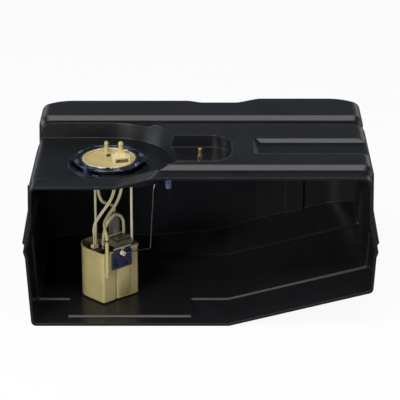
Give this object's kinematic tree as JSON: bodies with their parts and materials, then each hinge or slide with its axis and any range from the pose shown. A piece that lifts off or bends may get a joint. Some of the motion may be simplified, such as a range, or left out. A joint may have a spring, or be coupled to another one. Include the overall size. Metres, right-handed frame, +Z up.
{
  "type": "pickup truck fuel tank",
  "caption": "Moulded fuel tank cut open at the front, with its pump and level sender module standing inside.",
  "frame": {"origin": "under the middle of the tank, at the height of its lowest face", "axes": "+X to the right and +Y to the rear seen from the cut face, +Z up"},
  "size_m": [0.78, 0.5319, 0.3665],
  "materials": {
    "tank_plastic": "blow-moulded black polyethylene, slightly glossy",
    "seal_rubber": "matt black rubber",
    "brass": "turned brass",
    "dark_steel": "dark coated pressed steel",
    "module_plastic": "beige moulded acetal",
    "stem_plastic": "beige moulded stem",
    "connector_plastic": "beige moulded socket",
    "pin_brass": "tinned brass",
    "dark_plastic": "dark moulded plastic",
    "rod_steel": "drawn steel",
    "canister_plastic": "beige moulded acetal",
    "cover_plastic": "moulded cover",
    "pump_steel": "plated steel case",
    "strainer_mesh": "woven nylon mesh",
    "filter_plastic": "grey moulded plastic",
    "hose_plastic": "beige nylon hose",
    "guide_steel": "yellow-passivated drawn steel",
    "wire_sheath": "beige insulated lead",
    "jet_plastic": "beige moulded tube",
    "sender_plastic": "moulded frame",
    "card_ceramic": "blue ceramic card",
    "clip_plastic": "cream moulded clip",
    "float_foam": "closed-cell nitrile foam"
  },
  "bodies": {
    "tank": {"tank_shell": "tank_plastic", "vent_grommet": "seal_rubber", "vent_fitting": "brass", "vent_cap": "brass", "insert_ring": "dark_steel", "flange_seal": "seal_rubber", "pump_flange": "module_plastic", "supply_stem": "stem_plastic", "return_stem": "stem_plastic", "stem_collar": "stem_plastic", "connector_shell": "connector_plastic", "connector_pins": "pin_brass", "flange_plug": "dark_plastic", "guide_rod_left": "guide_steel", "guide_rod_right": "guide_steel", "rod_washers": "rod_steel", "supply_hose": "hose_plastic", "return_hose": "hose_plastic", "wire_power": "wire_sheath", "wire_ground": "wire_sheath", "flange_clamps": "rod_steel"},
    "lock_ring": {"lock_ring": "dark_steel"},
    "canister": {"canister": "canister_plastic", "canister_feet": "seal_rubber", "pump_cover": "cover_plastic", "pump_case": "pump_steel", "pump_end_cap": "dark_plastic", "pump_strainer": "strainer_mesh", "filter_housing": "filter_plastic", "filter_cap": "filter_plastic", "wire_plug": "dark_plastic", "arch_hose": "hose_plastic", "canister_clamps": "rod_steel", "jet_tube": "jet_plastic", "jet_elbow": "jet_plastic", "sender_frame": "sender_plastic", "resistor_card": "card_ceramic", "sender_clip": "clip_plastic", "spring_left": "rod_steel", "spring_right": "rod_steel"},
    "float_arm": {"float_arm": "rod_steel", "arm_hub": "clip_plastic", "wiper": "pin_brass", "tank_float": "float_foam"},
    "armature": {"pump_armature": "pump_steel"}
  },
  "joints": [
    {"name": "lock_ring_turn", "type": "hinge", "parent": "tank", "child": "lock_ring", "pos_m": [-0.202, -0.105, 0.3295], "axis": [0, 0, 1], "range_deg": [0, 20]},
    {"name": "canister_slide", "type": "slide", "parent": "tank", "child": "canister", "axis": [0, 0, 1], "range_m": [0, 0.01], "deforming": ["supply_hose", "return_hose", "wire_power", "wire_ground", "spring_left", "spring_right"]},
    {"name": "float_swing", "type": "hinge", "parent": "canister", "child": "float_arm", "pos_m": [-0.17255, -0.1533, 0.124], "axis": [0.6361, -0.7716, 0], "range_deg": [-75, 0]},
    {"name": "pump_spin", "type": "hinge", "parent": "canister", "child": "armature", "pos_m": [-0.23132, -0.12917, 0.06], "axis": [0, 0, 1], "continuous": true}
  ]
}
